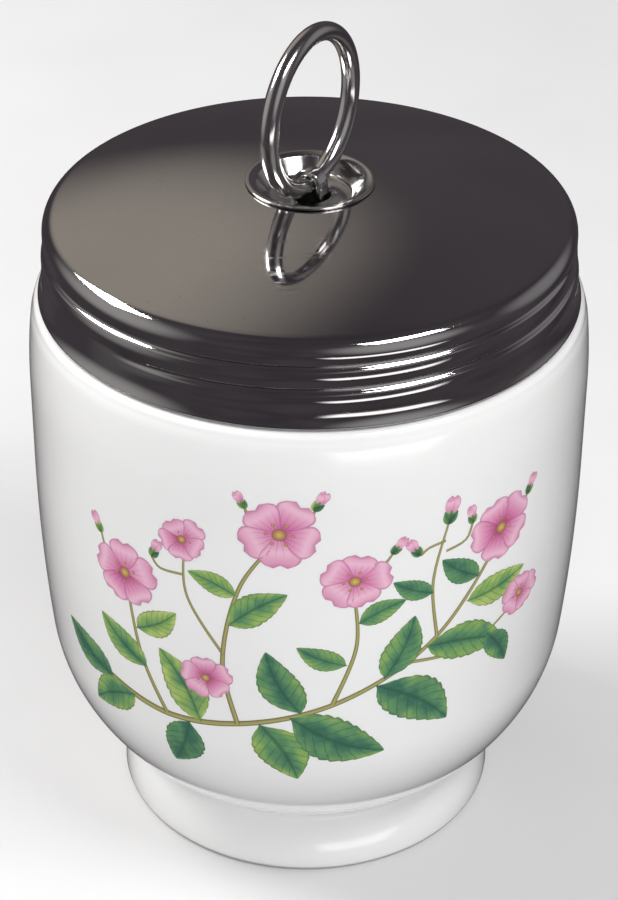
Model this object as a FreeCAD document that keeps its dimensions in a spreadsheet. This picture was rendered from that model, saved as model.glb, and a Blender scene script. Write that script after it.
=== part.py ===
import FreeCAD, Part
import math
import os
import Sketcher

# Porcelain egg coddler: a footed cup with a threaded neck, a pressed metal screw lid with a dished
# centre, and a wire lift ring held in the dish by an eye clenched under the lid.
# Frame: millimetres, +Z up, origin on the resting plane at the middle of the foot.
# The printed side of the cup faces -Y. The lid stands screwed down, with the ring upright.

os.makedirs("parts", exist_ok=True)
doc = FreeCAD.newDocument("EggCoddler")
sizes = doc.addObject("Spreadsheet::Sheet", "Sizes")

UP = FreeCAD.Vector(0, 0, 1)
SOLID_MIN_VOLUME = 1.0

# Driving sizes in millimetres, angles in degrees.
DRIVING = {
    # cup, outside, from the foot up
    "body_radius": 36.5,
    "cup_height": 88.0,
    "foot_ring_width": 4.5,
    "foot_bore_depth": 4.2,
    "foot_edge_round": 0.9,
    "foot_flare_radius": 17.0,
    "waist_inset": 2.0,
    "waist_rise": 7.6,
    "belly_swell": 7.3,
    "belly_rise": 8.1,
    "side_swell": 4.0,
    "side_rise": 11.8,
    "barrel_swell": 1.2,
    "barrel_rise": 25.6,
    "shoulder_inset": 0.5,
    "shoulder_rise": 8.4,
    "brow_inset": 0.4,
    "brow_rise": 1.6,
    "ledge_round": 0.95,
    "ledge_width": 2.1,
    "neck_length": 11.05,
    "rim_round": 1.2,
    # cup, inside
    "neck_wall": 3.8,
    "throat_depth": 9.0,
    "barrel_wall": 4.7,
    "heel_inset": 2.3,
    "heel_height": 26.0,
    "floor_radius": 13.5,
    "floor_wall": 8.2,
    # screw thread
    "thread_pitch": 3.0,
    "thread_start": -135.0,
    "thread_rise": 4.75,
    "lid_thread_turns": 1.35,
    "lid_thread_depth": 0.62,
    "lid_thread_base": 1.5,
    "lid_thread_tip": 0.5,
    "lid_groove_depth": 0.5,
    "lid_groove_mouth": 1.1,
    "lid_groove_bottom": 0.3,
    "neck_thread_turns": 1.0,
    "neck_thread_rise": 1.2,
    "neck_thread_height": 0.7,
    "neck_thread_base": 1.7,
    "neck_thread_tip": 0.6,
    # lid shell
    "sheet": 0.45,
    "skirt_gap": 0.95,
    "band_drop": 3.1,
    "skirt_taper": 0.5,
    "skirt_flare": 0.65,
    "skirt_flare_rise": 1.0,
    "skirt_edge_gap": 0.35,
    "corner_drop": 1.7,
    "corner_inset": 1.68,
    "corner_rise": 2.12,
    "dome_rise": 4.0,
    "dish_radius": 7.7,
    "dish_slope_inset": 0.6,
    "dish_floor_radius": 5.6,
    "dish_depth": 2.0,
    "dish_lip": 0.35,
    "eye_hole_radius": 2.6,
    # escutcheon lining the dish
    "plate": 0.5,
    "plate_seat": 0.05,
    "plate_lap": 0.55,
    "plate_bead": 0.3,
    # lift ring and its eye
    "ring_radius": 10.0,
    "ring_wire": 1.2,
    "ring_angle": 60.0,
    "ring_gap": 0.25,
    "eye_gap": 0.12,
    "eye_strip": 0.8,
    "eye_width": 2.0,
    "eye_bend": 0.75,
    "eye_foot": 4.8,
    "eye_foot_gap": 0.1,
}

# Sizes that follow from the driving ones.
DERIVED = {
    "side_radius": "body_radius - barrel_swell",
    "belly_radius": "side_radius - side_swell",
    "waist_radius": "belly_radius - belly_swell",
    "foot_radius": "waist_radius + waist_inset",
    "foot_flat_radius": "foot_radius - foot_edge_round",
    "foot_bore_radius": "foot_radius - foot_ring_width",
    "waist_height": "foot_edge_round + waist_rise",
    "belly_height": "waist_height + belly_rise",
    "side_height": "belly_height + side_rise",
    "body_low": "side_height + barrel_rise",
    "rim_height": "cup_height",
    "ledge_height": "rim_height - neck_length",
    "brow_height": "ledge_height - ledge_round",
    "shoulder_height": "brow_height - brow_rise",
    "body_high": "shoulder_height - shoulder_rise",
    "shoulder_radius": "body_radius - shoulder_inset",
    "brow_radius": "shoulder_radius - brow_inset",
    "ledge_radius": "brow_radius - ledge_round",
    "neck_radius": "ledge_radius - ledge_width",
    "throat_radius": "neck_radius - neck_wall",
    "throat_height": "rim_height - throat_depth",
    "inside_radius": "body_radius - barrel_wall",
    "heel_radius": "inside_radius - heel_inset",
    "floor_height": "foot_bore_depth + floor_wall",
    "thread_foot": "ledge_height + thread_rise",
    # the skirt hangs clear of the neck, and its edge clear of the ledge
    "band_radius": "neck_radius + skirt_gap + sheet",
    "skirt_radius": "band_radius + skirt_taper",
    "edge_radius": "skirt_radius + skirt_flare",
    "edge_height": "ledge_height + skirt_edge_gap",
    "skirt_low": "edge_height + skirt_flare_rise",
    "band_height": "rim_height - band_drop",
    "corner_height": "rim_height - corner_drop",
    "dish_slope_radius": "dish_radius - dish_slope_inset",
    "dome_edge_radius": "band_radius - corner_inset",
    "dome_edge_height": "corner_height + corner_rise",
    "dome_top": "dome_edge_height + dome_rise",
    "dome_radius": "(dome_edge_radius * dome_edge_radius + dome_rise * dome_rise) / (2 * dome_rise)",
    "dish_edge_drop": "dish_radius * dish_radius / (2 * dome_radius)",
    "dish_edge_height": "dome_top - dish_edge_drop",
    "dish_slope_height": "dish_edge_height - dish_lip",
    "dish_floor_height": "dome_top - dish_depth - plate - plate_seat",
    # under side of the pressed sheet
    "band_inner": "band_radius - sheet",
    "skirt_inner": "skirt_radius - sheet",
    "edge_inner": "edge_radius - sheet",
    "dome_edge_inner_height": "dome_edge_height - sheet",
    "dome_edge_inner_radius": "dome_edge_radius - sheet / 4",
    "dish_edge_inner_height": "dish_edge_height - sheet",
    "dish_slope_inner_height": "dish_slope_height - sheet",
    "dish_floor_inner_height": "dish_floor_height - sheet",
    "dome_inner_radius": "dome_radius - sheet",
    # lid thread, rolled inwards; the cup's thread rides over it
    "lid_thread_root": "band_inner + sheet / 2",
    "lid_thread_crest": "band_inner - lid_thread_depth + sheet / 4",
    "lid_thread_length": "lid_thread_turns * thread_pitch",
    "lid_groove_outer": "skirt_radius + skirt_flare",
    "lid_groove_root": "band_radius - lid_groove_depth",
    "neck_thread_root": "neck_radius - neck_thread_height / 3",
    "neck_thread_crest": "neck_radius + neck_thread_height",
    "neck_thread_foot": "thread_foot + neck_thread_rise",
    "neck_thread_length": "neck_thread_turns * thread_pitch",
    # escutcheon
    "plate_floor": "dish_floor_height + plate_seat",
    "plate_floor_top": "plate_floor + plate",
    "plate_slope": "dish_slope_height + plate_seat",
    "plate_slope_top": "plate_slope + plate",
    "plate_rim_radius": "dish_radius + plate_lap",
    "plate_rim": "dish_edge_height + plate_seat",
    "plate_rim_top": "plate_rim + plate_bead",
    "plate_floor_inner": "dish_floor_radius - plate / 2",
    "plate_slope_inner": "dish_slope_radius - plate / 2",
    # lift ring hung just above the escutcheon's floor
    "ring_seat": "plate_floor_top + ring_gap + ring_wire",
    "ring_height": "ring_seat + ring_radius",
    # eye: half loop over the ring's wire, legs through the lid, feet clenched outwards
    "eye_radius": "ring_wire + eye_gap + eye_strip / 2",
    "eye_foot_height": "dish_floor_inner_height - eye_foot_gap - eye_strip / 2",
    "eye_leg_end": "eye_foot_height + eye_bend",
    "eye_bend_end": "eye_radius + eye_bend",
}


def fill_sheet():
    """Write every size to its own aliased cell, the derived ones as formulas."""
    row = 1
    for alias, number in DRIVING.items():
        cell = "A%d" % row
        sizes.set(cell, str(number))
        sizes.setAlias(cell, alias)
        row += 1
    for alias, formula in DERIVED.items():
        cell = "A%d" % row
        sizes.set(cell, "=" + formula)
        sizes.setAlias(cell, alias)
        row += 1
    doc.recompute()


def size(alias):
    """Return a size from the sheet as a plain number."""
    return float(sizes.get(alias))


def origin_plane(body, role):
    """Find one of the body's own origin planes or axes by its role."""
    for feature in body.Origin.OriginFeatures:
        if feature.Role == role:
            return feature
    raise ValueError("no origin feature " + role)


def new_sketch(body, name, role="XZ_Plane"):
    sketch = body.newObject("Sketcher::SketchObject", name)
    sketch.AttachmentSupport = [(origin_plane(body, role), "")]
    sketch.MapMode = "FlatFace"
    return sketch


def bind(sketch, index, name, expression):
    sketch.renameConstraint(index, name)
    sketch.setExpression("Constraints." + name, expression)


def pin_point(sketch, edge, end, across, up, label):
    """Hold a point at a distance across and up from the sketch's origin."""
    for kind, value, letter in (("DistanceX", across, "X"), ("DistanceY", up, "Y")):
        if value == "0":
            axis = -2 if kind == "DistanceX" else -1
            sketch.addConstraint(Sketcher.Constraint("PointOnObject", edge, end, axis))
            continue
        number = size(value.lstrip("-"))
        if value.startswith("-"):
            number = -number
        at = sketch.addConstraint(Sketcher.Constraint(kind, -1, 1, edge, end, number))
        sign = "-" if value.startswith("-") else ""
        bind(sketch, at, label + letter, sign + "Sizes." + value.lstrip("-"))


def value_of(text):
    """Return the number behind an alias, its negative, or zero."""
    if text == "0":
        return 0.0
    if text.startswith("-"):
        return -size(text[1:])
    return size(text)


def arc_through(start, end, bulge):
    """Arc from start to end; bulge is its middle's distance left of the chord."""
    chord = end - start
    left = FreeCAD.Vector(-chord.y, chord.x, 0)
    left.normalize()
    middle = (start + end) * 0.5 + left * bulge
    if bulge > 0:
        # full on the left means clockwise, so the arc is given from its other end
        return Part.Arc(end, middle, start)
    return Part.Arc(start, middle, end)


def heading(curve, place):
    """Direction of a line or arc at one of its ends, as a unit vector."""
    edge = curve.toShape()
    at = edge.FirstParameter
    if edge.valueAt(edge.LastParameter).distanceToPoint(place) < 1e-6:
        at = edge.LastParameter
    direction = edge.tangentAt(at)
    direction.normalize()
    return direction


def smooth_bulge(start, end, shared, direction):
    """Bulge of the arc from start to end that leaves the shared point in a direction."""
    chord = end - start
    left = FreeCAD.Vector(-chord.y, chord.x, 0)
    left.normalize()
    away = (end - start) if shared.isEqual(start, 1e-6) else (start - end)
    if away.dot(direction) < 0:
        direction = direction * -1.0
    turn = away.getAngle(direction)
    side = 1.0 if direction.dot(left) > 0 else -1.0
    return side * chord.Length / 2 * math.tan(turn / 2)


def draw_outline(sketch, points, arcs, closed=True):
    """Draw a chain of lines and arcs through points given as pairs of aliases.

    arcs maps an edge's number to ("tangent", the neighbour it runs smoothly into, 0) or to
    ("radius", alias, bulge), where the bulge's sign says to which side the arc is full.
    """
    places = [FreeCAD.Vector(value_of(x), value_of(y), 0) for x, y in points]
    count = len(points) if closed else len(points) - 1
    curves = []
    for edge in range(count):
        start = places[edge]
        end = places[(edge + 1) % len(places)]
        curve = Part.LineSegment(start, end)
        if edge in arcs and arcs[edge][0] == "radius":
            radius = size(arcs[edge][1])
            half = start.distanceToPoint(end) / 2
            rise = radius - math.sqrt(max(radius * radius - half * half, 0.0))
            curve = arc_through(start, end, math.copysign(rise, arcs[edge][2]))
        curves.append(curve)
    for edge, (kind, other, _side) in arcs.items():
        if kind != "tangent":
            continue
        start = places[edge]
        end = places[(edge + 1) % len(places)]
        shared = start if other == (edge - 1) % count else end
        direction = heading(curves[other], shared)
        curves[edge] = arc_through(start, end, smooth_bulge(start, end, shared, direction))
    for curve in curves:
        sketch.addGeometry(curve, False)
    ends = []
    for edge in range(count):
        # an arc runs anticlockwise, so its first point may be the outline's second
        forward = sketch.Geometry[edge].StartPoint.distanceToPoint(places[edge]) < 1e-6
        ends.append((1, 2) if forward else (2, 1))
    smooth = set()
    for edge, (kind, other, _side) in arcs.items():
        if kind == "tangent":
            smooth.add((min(edge, other), max(edge, other)))
    for edge in range(count):
        x, y = points[edge]
        pin_point(sketch, edge, ends[edge][0], x, y, "P%d" % edge)
        after = (edge + 1) % count
        if edge == count - 1 and not closed:
            continue
        kind = "Tangent" if (edge, after) in smooth else "Coincident"
        sketch.addConstraint(
            Sketcher.Constraint(kind, edge, ends[edge][1], after, ends[after][0]))
    if not closed:
        x, y = points[-1]
        pin_point(sketch, count - 1, ends[-1][1], x, y, "P%d" % count)
    for edge, (kind, other, _side) in arcs.items():
        if kind == "radius":
            at = sketch.addConstraint(Sketcher.Constraint("Radius", edge, size(other)))
            bind(sketch, at, "R%d" % edge, "Sizes." + other)
    return sketch


def revolve(body, sketch, name):
    turn = body.newObject("PartDesign::Revolution", name)
    turn.Profile = sketch
    turn.ReferenceAxis = (sketch, ["V_Axis"])
    turn.Angle = 360.0
    sketch.Visibility = False
    return turn


def round_edges(body, name, alias, wanted):
    """Fillet the circular edges found at the wanted (radius, height) pairs."""
    doc.recompute()
    base = body.Tip
    names = []
    for number, edge in enumerate(base.Shape.Edges, 1):
        curve = edge.Curve
        if not isinstance(curve, Part.Circle):
            continue
        for radius, height in wanted:
            near = abs(curve.Radius - radius) < 0.01 and abs(curve.Center.z - height) < 0.01
            if near and "Edge%d" % number not in names:
                names.append("Edge%d" % number)
    if len(names) < len(wanted):
        raise RuntimeError("an edge to round was not found on " + body.Label)
    fillet = body.newObject("PartDesign::Fillet", name)
    fillet.Base = (base, names)
    fillet.setExpression("Radius", "Sizes." + alias)
    return fillet


def sweep_helix(body, sketch, name, kind, length_alias):
    """Wind a section round the body's axis as a right-hand thread."""
    helix = body.newObject(kind, name)
    helix.Profile = sketch
    helix.ReferenceAxis = (sketch, ["V_Axis"])
    helix.Mode = 0
    helix.setExpression("Pitch", "Sizes.thread_pitch")
    helix.setExpression("Height", "Sizes." + length_alias)
    helix.LeftHanded = False
    sketch.Visibility = False
    return helix


def thread_section(body, name, near, far, middle, near_width, far_width):
    """Section of a thread: a trapezium from one radius to another, centred on a height."""
    sketch = new_sketch(body, name)
    inner = size(near)
    outer = size(far)
    height = size(middle)
    corners = [
        FreeCAD.Vector(inner, height - size(near_width) / 2, 0),
        FreeCAD.Vector(outer, height - size(far_width) / 2, 0),
        FreeCAD.Vector(outer, height + size(far_width) / 2, 0),
        FreeCAD.Vector(inner, height + size(near_width) / 2, 0),
    ]
    for edge in range(4):
        sketch.addGeometry(Part.LineSegment(corners[edge], corners[(edge + 1) % 4]), False)
    for edge in range(4):
        sketch.addConstraint(Sketcher.Constraint("Coincident", edge, 2, (edge + 1) % 4, 1))
    radii = (near, far, far, near)
    widths = (near_width, far_width, far_width, near_width)
    signs = ("-", "-", "+", "+")
    for edge in range(4):
        at = sketch.addConstraint(
            Sketcher.Constraint("DistanceX", -1, 1, edge, 1, corners[edge].x))
        bind(sketch, at, "C%dX" % edge, "Sizes." + radii[edge])
        at = sketch.addConstraint(
            Sketcher.Constraint("DistanceY", -1, 1, edge, 1, corners[edge].y))
        bind(sketch, at, "C%dY" % edge,
             "Sizes.%s %s Sizes.%s / 2" % (middle, signs[edge], widths[edge]))
    return sketch


def new_body(label):
    body = doc.addObject("PartDesign::Body", label)
    body.Label = label
    return body


def make_cup():
    """Porcelain cup: hollow foot, rounded belly, shoulder ledge, threaded neck, smooth inside."""
    cup = new_body("cup")
    outline = new_sketch(cup, "CupOutline")
    points = [
        ("foot_bore_radius", "0"),
        ("foot_flat_radius", "0"),
        ("foot_radius", "foot_edge_round"),
        ("waist_radius", "waist_height"),
        ("belly_radius", "belly_height"),
        ("side_radius", "side_height"),
        ("body_radius", "body_low"),
        ("body_radius", "body_high"),
        ("shoulder_radius", "shoulder_height"),
        ("brow_radius", "brow_height"),
        ("ledge_radius", "ledge_height"),
        ("neck_radius", "ledge_height"),
        ("neck_radius", "rim_height"),
        ("throat_radius", "rim_height"),
        ("throat_radius", "throat_height"),
        ("inside_radius", "body_low"),
        ("heel_radius", "heel_height"),
        ("floor_radius", "floor_height"),
        ("0", "floor_height"),
        ("0", "foot_bore_depth"),
        ("foot_bore_radius", "foot_bore_depth"),
    ]
    arcs = {
        1: ("tangent", 0, 0),
        2: ("radius", "foot_flare_radius", 1),
        5: ("tangent", 6, 0),
        4: ("tangent", 5, 0),
        3: ("tangent", 4, 0),
        7: ("tangent", 6, 0),
        8: ("tangent", 7, 0),
        9: ("tangent", 10, 0),
        15: ("tangent", 14, 0),
        16: ("tangent", 15, 0),
    }
    draw_outline(outline, points, arcs)
    revolve(cup, outline, "CupTurned")
    round_edges(cup, "RimEdge", "rim_round", [
        (size("neck_radius"), size("rim_height")),
        (size("throat_radius"), size("rim_height")),
    ])
    section = thread_section(cup, "NeckThreadSection", "neck_thread_root", "neck_thread_crest",
                             "neck_thread_foot", "neck_thread_base", "neck_thread_tip")
    sweep_helix(cup, section, "NeckThread", "PartDesign::AdditiveHelix", "neck_thread_length")
    turn_to_thread_start(cup)
    return cup


def turn_to_thread_start(body):
    """Turn a threaded piece so that its thread starts where the real one's does."""
    body.Placement = FreeCAD.Placement(
        FreeCAD.Vector(0, 0, 0), FreeCAD.Rotation(UP, size("thread_start")))


def make_lid_shell():
    """Pressed sheet lid: dished centre, low dome, plain band, rolled thread, flared lower edge."""
    lid = new_body("lid_shell")
    outline = new_sketch(lid, "LidOutline")
    points = [
        ("eye_hole_radius", "dish_floor_height"),
        ("eye_hole_radius", "dish_floor_inner_height"),
        ("dish_floor_radius", "dish_floor_inner_height"),
        ("dish_slope_radius", "dish_slope_inner_height"),
        ("dish_radius", "dish_edge_inner_height"),
        ("dome_edge_inner_radius", "dome_edge_inner_height"),
        ("band_inner", "corner_height"),
        ("band_inner", "band_height"),
        ("skirt_inner", "skirt_low"),
        ("edge_inner", "edge_height"),
        ("edge_radius", "edge_height"),
        ("skirt_radius", "skirt_low"),
        ("band_radius", "band_height"),
        ("band_radius", "corner_height"),
        ("dome_edge_radius", "dome_edge_height"),
        ("dish_radius", "dish_edge_height"),
        ("dish_slope_radius", "dish_slope_height"),
        ("dish_floor_radius", "dish_floor_height"),
    ]
    arcs = {
        4: ("radius", "dome_inner_radius", 1),
        5: ("tangent", 6, 0),
        13: ("tangent", 12, 0),
        14: ("radius", "dome_radius", -1),
    }
    draw_outline(outline, points, arcs)
    revolve(lid, outline, "LidPressed")
    rib = thread_section(lid, "LidThreadSection", "lid_thread_crest", "lid_thread_root",
                         "thread_foot", "lid_thread_tip", "lid_thread_base")
    sweep_helix(lid, rib, "LidThread", "PartDesign::AdditiveHelix", "lid_thread_length")
    groove = thread_section(lid, "LidGrooveSection", "lid_groove_root", "lid_groove_outer",
                            "thread_foot", "lid_groove_bottom", "lid_groove_mouth")
    sweep_helix(lid, groove, "LidGroove", "PartDesign::SubtractiveHelix", "lid_thread_length")
    turn_to_thread_start(lid)
    return lid


def make_escutcheon():
    """Round plate that lines the lid's dish, with a raised rim and a hole for the eye."""
    plate = new_body("escutcheon")
    outline = new_sketch(plate, "EscutcheonOutline")
    points = [
        ("eye_hole_radius", "plate_floor_top"),
        ("eye_hole_radius", "plate_floor"),
        ("plate_floor_inner", "plate_floor"),
        ("plate_slope_inner", "plate_slope"),
        ("dish_radius", "plate_rim"),
        ("plate_rim_radius", "plate_rim"),
        ("plate_rim_radius", "plate_rim_top"),
        ("plate_slope_inner", "plate_slope_top"),
        ("plate_floor_inner", "plate_floor_top"),
    ]
    draw_outline(outline, points, {})
    revolve(plate, outline, "EscutcheonTurned")
    return plate


def make_ring_eye():
    """Flat strip bent over the ring's wire, its legs through the lid and its feet clenched out."""
    eye = new_body("ring_eye")
    path = new_sketch(eye, "EyePath")
    points = [
        ("eye_foot", "eye_foot_height"),
        ("eye_bend_end", "eye_foot_height"),
        ("eye_radius", "eye_leg_end"),
        ("eye_radius", "ring_seat"),
        ("-eye_radius", "ring_seat"),
        ("-eye_radius", "eye_leg_end"),
        ("-eye_bend_end", "eye_foot_height"),
        ("-eye_foot", "eye_foot_height"),
    ]
    arcs = {
        1: ("radius", "eye_bend", 1),
        3: ("tangent", 2, 0),
        5: ("radius", "eye_bend", 1),
    }
    draw_outline(path, points, arcs, closed=False)
    doc.recompute()
    section = new_sketch(eye, "EyeSection", "YZ_Plane")
    section.AttachmentOffset = FreeCAD.Placement(
        FreeCAD.Vector(0, 0, size("eye_foot")), FreeCAD.Rotation())
    section.setExpression(".AttachmentOffset.Base.z", "Sizes.eye_foot")
    half_width = size("eye_width") / 2
    half_strip = size("eye_strip") / 2
    middle = size("eye_foot_height")
    corners = [
        FreeCAD.Vector(-half_width, middle - half_strip, 0),
        FreeCAD.Vector(half_width, middle - half_strip, 0),
        FreeCAD.Vector(half_width, middle + half_strip, 0),
        FreeCAD.Vector(-half_width, middle + half_strip, 0),
    ]
    for edge in range(4):
        section.addGeometry(Part.LineSegment(corners[edge], corners[(edge + 1) % 4]), False)
    for edge in range(4):
        section.addConstraint(Sketcher.Constraint("Coincident", edge, 2, (edge + 1) % 4, 1))
    across = ("-", "", "", "-")
    upwards = ("-", "-", "+", "+")
    for edge in range(4):
        at = section.addConstraint(
            Sketcher.Constraint("DistanceX", -1, 1, edge, 1, corners[edge].x))
        bind(section, at, "E%dX" % edge, across[edge] + "Sizes.eye_width / 2")
        at = section.addConstraint(
            Sketcher.Constraint("DistanceY", -1, 1, edge, 1, corners[edge].y))
        bind(section, at, "E%dY" % edge,
             "Sizes.eye_foot_height %s Sizes.eye_strip / 2" % upwards[edge])
    strip = eye.newObject("PartDesign::AdditivePipe", "EyeStrip")
    strip.Profile = section
    strip.Spine = path
    path.Visibility = False
    section.Visibility = False
    # the eye stands square across the ring's wire
    eye.Placement = FreeCAD.Placement(
        FreeCAD.Vector(0, 0, 0), FreeCAD.Rotation(UP, size("ring_angle") - 90.0))
    return eye


def make_lift_ring():
    """Round wire ring, standing upright through the eye."""
    ring = doc.addObject("Part::Torus", "lift_ring")
    ring.Label = "lift_ring"
    ring.setExpression("Radius1", "Sizes.ring_radius")
    ring.setExpression("Radius2", "Sizes.ring_wire")
    upright = FreeCAD.Rotation(FreeCAD.Vector(1, 0, 0), 90.0)
    turned = FreeCAD.Rotation(UP, size("ring_angle"))
    ring.Placement = FreeCAD.Placement(
        FreeCAD.Vector(0, 0, size("ring_height")), turned.multiply(upright))
    ring.setExpression(".Placement.Base.z", "Sizes.ring_height")
    return ring


def check_and_write(pieces):
    """Stop on any failed feature or bad shape, then write one STEP file a piece."""
    doc.recompute()
    for item in doc.Objects:
        if "Invalid" in item.State or "Error" in item.State:
            raise RuntimeError("feature failed: " + item.Name)
    for piece in pieces:
        shape = piece.Shape
        if shape.isNull() or not shape.isValid() or shape.Volume < SOLID_MIN_VOLUME:
            raise RuntimeError("bad shape: " + piece.Label)
    for piece in pieces:
        piece.Shape.exportStep(os.path.join("parts", piece.Label + ".step"))
        box = piece.Shape.BoundBox
        print("%-14s solids %d volume %8.1f z %.2f to %.2f" % (
            piece.Label, len(piece.Shape.Solids), piece.Shape.Volume, box.ZMin, box.ZMax))
    print("eye to ring gap %.2f, ring top %.2f" % (
        size("eye_gap"), size("ring_height") + size("ring_radius") + size("ring_wire")))
    print("turns to clear the rim %.2f" % math.ceil(
        (size("rim_height") - size("edge_height")) / size("thread_pitch")))


fill_sheet()
PIECES = [
    make_cup(),
    make_lid_shell(),
    make_escutcheon(),
    make_ring_eye(),
    make_lift_ring(),
]
check_and_write(PIECES)
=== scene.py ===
import math
import random

import bmesh
import bpy
from mathutils import Matrix, Vector


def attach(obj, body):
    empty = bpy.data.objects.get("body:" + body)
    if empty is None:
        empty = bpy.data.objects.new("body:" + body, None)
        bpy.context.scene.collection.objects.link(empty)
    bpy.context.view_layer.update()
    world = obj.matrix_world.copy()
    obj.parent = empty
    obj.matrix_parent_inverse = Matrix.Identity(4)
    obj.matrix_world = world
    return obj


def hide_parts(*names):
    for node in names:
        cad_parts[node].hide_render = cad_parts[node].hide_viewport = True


# Porcelain egg coddler around its CAD frame: glazed cup with a printed spray, pressed and
# polished screw lid, dished escutcheon, ring eye and lift ring. The object's sizes are values in
# millimetres, and its meshes, the stage, the lamps and the camera's place are in metres. The
# cup's print faces -Y, the camera's side.

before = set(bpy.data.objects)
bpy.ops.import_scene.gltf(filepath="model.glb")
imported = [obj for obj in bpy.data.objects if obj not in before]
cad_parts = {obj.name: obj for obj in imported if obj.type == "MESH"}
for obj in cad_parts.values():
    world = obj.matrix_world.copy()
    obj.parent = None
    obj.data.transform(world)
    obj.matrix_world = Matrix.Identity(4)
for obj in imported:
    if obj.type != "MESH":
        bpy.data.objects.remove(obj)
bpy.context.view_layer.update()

MM = 0.001
TAU = math.tau
SMOOTH_ANGLE = math.radians(38)

# Headings in a profile, as (radius, height)
OUT = (1, 0)
IN = (-1, 0)
UP = (0, 1)
DOWN = (0, -1)

# Outside of the cup: (radius, height) where one curve hands over to the next, from the foot up
BODY_R = 36.5
GLAZE_INSET = 0.06
CUP_STEPS = 256
FOOT_IN_R = 21.5
FOOT_INNER_EDGE = [(FOOT_IN_R, 0.35), (21.65, 0.1), (21.95, 0.0)]
FOOT_TREAD = (25.1, 0.0)
FOOT_EDGE = (26.0, 0.9)
FOOT_TOP = (24.15, 7.6)
FOOT_FLARE = (-0.04, 1.0)
CREASE = [(24.1, 8.05), (24.2, 8.4), (24.4, 8.7)]
BELLY_FOOT = (24.65, 8.95)
BELLY_LOW = (31.3, 16.6)
BELLY_HIGH = (35.3, 28.4)
WALL_FOOT = (BODY_R, 54.0)
WALL_TOP = (BODY_R, 66.0)
SHOULDER_LOW = (36.0, 74.4)
SHOULDER_HIGH = (35.6, 76.0)
LEDGE_Z = 76.95
LEDGE_EDGE = (34.65, LEDGE_Z)
LEDGE_LEAN = (-0.05, 1)

# Neck, inside and hollow foot of the cup
NECK_R = 32.55
NECK_ROOT = 0.6
RIM_Z = 88.0
RIM_ROUND = 1.3
THROAT_R = 28.75
THROAT_LOW = 80.0
THROAT_FOOT = (THROAT_R + 0.2, 77.6)
INSIDE_WIDE = (31.8, 54.0)
INSIDE_LOW = (29.5, 26.0)
FLOOR_Z = 12.4
FLOOR_EDGE_R = 13.5
UNDER_FOOT = [
    (0.0, 4.2), (12.0, 4.2), (19.5, 4.15), (20.8, 3.9), (21.35, 3.3), (FOOT_IN_R, 2.4)]
NECK_BAND = (NECK_R - 0.2, LEDGE_Z + 0.7, RIM_Z - 1.0)

# Screw thread: right-handed, starts left of the front. A section is full within its flat's half
# width and gone beyond its foot's half width. It moves only the vertices of NECK_BAND or
# LID_BAND, each given as inner radius, low and high.
PITCH = 3.0
THREAD_START = math.radians(-135.0)
THREAD_Z = 81.7
FADE_TURNS = 0.07
NECK_TURNS = 1.0
NECK_LIFT = 1.2
NECK_RIB = {"height": 0.7, "foot": 0.85, "flat": 0.3}
LID_TURNS = 1.35
LID_GROOVE = {"height": -0.42, "foot": 0.55, "flat": 0.06}
LID_ROLL = {"height": 0.12, "foot": 1.3, "flat": 0.0}
ROLL_DROP = -1.45

# Lid, with the dish as (radius, height, rounding)
LID_STEPS = 288
SHEET = 0.45
EYE_HOLE_R = 2.65
DISH_R = 7.7
LID_DISH = [
    (EYE_HOLE_R, 89.87, 0), (5.6, 89.87, 0.7), (7.1, 91.8, 0.5), (DISH_R, 92.18, 0.25)]
DOME_TOP = 92.42
DOME_SPHERE = 132.6
DOME_EDGE_R = 32.3
DOME_ROWS = 40
CORNER_R = 2.18
BAND_R = 33.95
BAND_TOP = 86.3
SKIRT_ROWS = 60
SKIRT_LOW = 79.2
SKIRT_FLARE = 0.5
FLARE_TOP = 84.9
FLARE_FOOT = 78.3
HEM_TOP = (34.88, 77.5)
HEM_LEAN = (0.07, -1)
HEM_FOOT = (34.7, 77.3)
HEM_FOOT_LEAN = (0.3, -1)
HEM_INNER = [(34.55, 77.32), (34.46, 77.42)]
HEM_INNER_TOP = 77.7
LID_BAND = (BAND_R - 0.95, SKIRT_LOW - 0.8, BAND_TOP + 0.1)

# Escutcheon, as (radius, height, rounding) round its section
PLATE_STEPS = 160
PLATE_SECTION = [
    (EYE_HOLE_R, 90.42, 0.12), (EYE_HOLE_R, 89.95, 0.12), (5.32, 89.95, 0.6),
    (6.9, 91.93, 0.4), (7.75, 92.26, 0.1), (8.22, 92.26, 0.12), (8.22, 92.54, 0.13),
    (7.72, 92.54, 0.2), (6.86, 92.3, 0.4), (5.36, 90.42, 0.6),
]

# Ring
RING_R = 10.0
RING_WIRE = 1.2
RING_ANGLE = math.radians(60.0)
SEAT_Z = 91.87
WIRE_INSET = 0.01

# Eye: a strip bent over the ring's wire with a little play, its ankles rounded and its toes
# clenched out. EYE_BEND is the radius of the bend at the middle of the strip.
EYE_WIDE = 1.96
EYE_THICK = 0.78
EYE_PLAY = 0.13
EYE_BEND = RING_WIRE + EYE_PLAY + EYE_THICK / 2
EYE_FOOT_Z = 88.92
EYE_ANKLE = 0.75
EYE_HEEL = 3.4
EYE_TOE = 4.8
EYE_EDGE = 0.16
EYE_EDGE_ANGLE = math.radians(50)

# Print: how it is laid on the cup
PRINT_LIFT = 4.2
PRINT_TALL = 1.07
PRINT_WIDE = 1.13
PRINT_LOW = 8.5
PRINT_HIGH = 76.0
PRINT_CLEAR = 0.006
PRINT_LAYER = 0.0022
INK_STEM, INK_LEAF, INK_PETAL, INK_EYE = range(4)

# Stage, in metres
BACKDROP = (0.72, 0.72, 0.73)
FLOOR_SIZE = 6.0
ROOM_R = 2.4


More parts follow.
